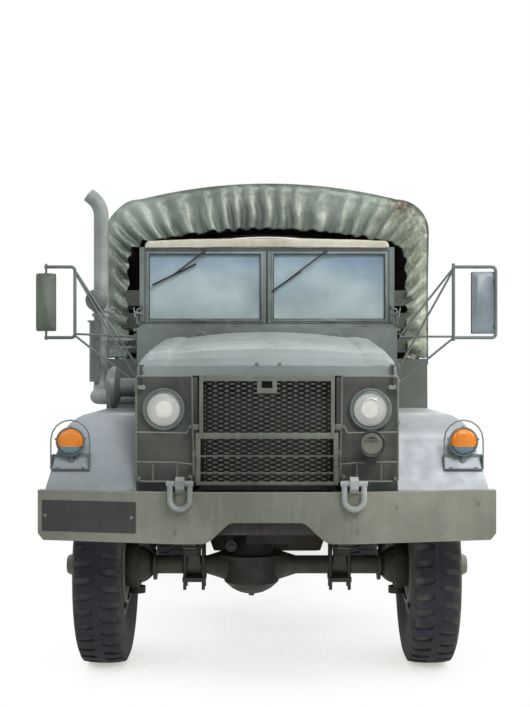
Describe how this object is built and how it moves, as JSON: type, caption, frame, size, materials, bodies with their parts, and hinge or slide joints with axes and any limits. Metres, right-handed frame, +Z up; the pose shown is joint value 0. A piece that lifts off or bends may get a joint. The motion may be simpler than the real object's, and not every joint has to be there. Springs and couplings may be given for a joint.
{
  "type": "six-wheel military cargo truck with canvas cargo cover",
  "caption": "bonneted all-wheel-drive army cargo truck with a mesh brush guard, canvas cab roof and covered drop-side-free bed",
  "frame": {"origin": "on the ground under the middle of the whole vehicle", "axes": "+X to the vehicle's left, +Y to the rear, +Z up"},
  "size_m": [2.726, 6.766, 2.8898],
  "materials": {
    "black_paint": "black enamel",
    "black_plastic": "black moulded plastic",
    "canvas_olive": "coated cotton canvas",
    "canvas_seat": "canvas seat cloth",
    "canvas_tan": "faded cotton canvas",
    "chassis_paint": "grey-green enamel, dusty",
    "glass": "flat laminated pane",
    "lamp_amber": "ribbed amber lens in a painted housing",
    "lamp_glass": "pressed lens",
    "olive_paint": "satin grey-green vehicle enamel",
    "painted_wood": "painted hardwood",
    "pale_paint": "worn grey paint",
    "tyre": "weathered tyre rubber"
  },
  "bodies": {
    "chassis": {"frame_rails": "chassis_paint", "crossmembers": "chassis_paint", "front_bumper": "olive_paint", "tow_shackles": "pale_paint", "axles": "chassis_paint", "leaf_springs": "chassis_paint", "powertrain": "chassis_paint", "prop_shafts": "chassis_paint", "radiator": "black_paint", "exhaust_stack": "olive_paint", "air_intake": "olive_paint", "front_wings": "olive_paint", "nose_panels": "olive_paint", "brush_guard": "olive_paint", "guard_mesh": "olive_paint", "headlamps": "lamp_glass", "turn_lamps": "lamp_amber", "cab_shell": "olive_paint", "windscreen_frame": "olive_paint", "windscreen_glass": "glass", "wipers": "black_paint", "cab_roof": "canvas_tan", "seat_frames": "olive_paint", "seat_pads": "canvas_seat", "steering_wheel": "black_plastic", "dashboard": "olive_paint", "mirrors": "olive_paint", "step_boxes": "olive_paint", "fuel_tank": "olive_paint", "spare_rim": "olive_paint", "spare_tyre": "tyre", "cargo_bed": "olive_paint", "cargo_racks": "painted_wood", "rack_posts": "painted_wood", "cargo_bows": "painted_wood", "cargo_cover": "canvas_olive", "rear_fittings": "black_paint"},
    "hood": {"hood": "olive_paint"},
    "tailgate": {"tailgate": "olive_paint"},
    "tie_rod": {"tie_rod": "chassis_paint"},
    "door_left": {"door_left": "olive_paint", "door_glass_left": "glass"},
    "knuckle_left": {"knuckle_left": "chassis_paint"},
    "wheel_front_left": {"front_rim_left": "olive_paint", "front_tyre_left": "tyre"},
    "wheel_rear_front_left": {"rear_rims_front_left": "olive_paint", "rear_tyres_front_left": "tyre"},
    "wheel_rear_rear_left": {"rear_rims_rear_left": "olive_paint", "rear_tyres_rear_left": "tyre"},
    "door_right": {"door_right": "olive_paint", "door_glass_right": "glass"},
    "knuckle_right": {"knuckle_right": "chassis_paint"},
    "wheel_front_right": {"front_rim_right": "olive_paint", "front_tyre_right": "tyre"},
    "wheel_rear_front_right": {"rear_rims_front_right": "olive_paint", "rear_tyres_front_right": "tyre"},
    "wheel_rear_rear_right": {"rear_rims_rear_right": "olive_paint", "rear_tyres_rear_right": "tyre"}
  },
  "joints": [
    {"name": "steer_left", "type": "hinge", "parent": "chassis", "child": "knuckle_left", "pos_m": [0.7, -2.467, 0.5191], "axis": [0, 0, 1], "range_deg": [-28, 28]},
    {"name": "roll_front_left", "type": "hinge", "parent": "knuckle_left", "child": "wheel_front_left", "pos_m": [0.862, -2.467, 0.5191], "axis": [1, 0, 0], "continuous": true},
    {"name": "door_left", "type": "hinge", "parent": "chassis", "child": "door_left", "pos_m": [0.772, -1.681, 1.5], "axis": [0, 0, -1], "range_deg": [0, 65]},
    {"name": "roll_rear_front_left", "type": "hinge", "parent": "chassis", "child": "wheel_rear_front_left", "pos_m": [0.889, 0.8355, 0.5191], "axis": [1, 0, 0], "continuous": true},
    {"name": "roll_rear_rear_left", "type": "hinge", "parent": "chassis", "child": "wheel_rear_rear_left", "pos_m": [0.889, 2.0545, 0.5191], "axis": [1, 0, 0], "continuous": true},
    {"name": "steer_right", "type": "hinge", "parent": "chassis", "child": "knuckle_right", "pos_m": [-0.7, -2.467, 0.5191], "axis": [0, 0, 1], "range_deg": [-28, 28]},
    {"name": "roll_front_right", "type": "hinge", "parent": "knuckle_right", "child": "wheel_front_right", "pos_m": [-0.862, -2.467, 0.5191], "axis": [1, 0, 0], "continuous": true},
    {"name": "door_right", "type": "hinge", "parent": "chassis", "child": "door_right", "pos_m": [-0.772, -1.681, 1.5], "axis": [0, 0, 1], "range_deg": [0, 65]},
    {"name": "roll_rear_front_right", "type": "hinge", "parent": "chassis", "child": "wheel_rear_front_right", "pos_m": [-0.889, 0.8355, 0.5191], "axis": [1, 0, 0], "continuous": true},
    {"name": "roll_rear_rear_right", "type": "hinge", "parent": "chassis", "child": "wheel_rear_rear_right", "pos_m": [-0.889, 2.0545, 0.5191], "axis": [1, 0, 0], "continuous": true},
    {"name": "hood_lift", "type": "hinge", "parent": "chassis", "child": "hood", "pos_m": [0, -1.911, 1.806], "axis": [-1, 0, 0], "range_deg": [0, 50]},
    {"name": "tailgate_drop", "type": "hinge", "parent": "chassis", "child": "tailgate", "pos_m": [0, 3.309, 1.29], "axis": [-1, 0, 0], "range_deg": [0, 175]},
    {"name": "tie_rod_shift", "type": "slide", "parent": "chassis", "child": "tie_rod", "axis": [1, 0, 0], "range_m": [-0.12, 0.12]}
  ],
  "couplings": [
    {"joint": "steer_right", "follows": "steer_left", "ratio": 1},
    {"joint": "tie_rod_shift", "follows": "steer_left", "m_per_rad": -0.195}
  ]
}
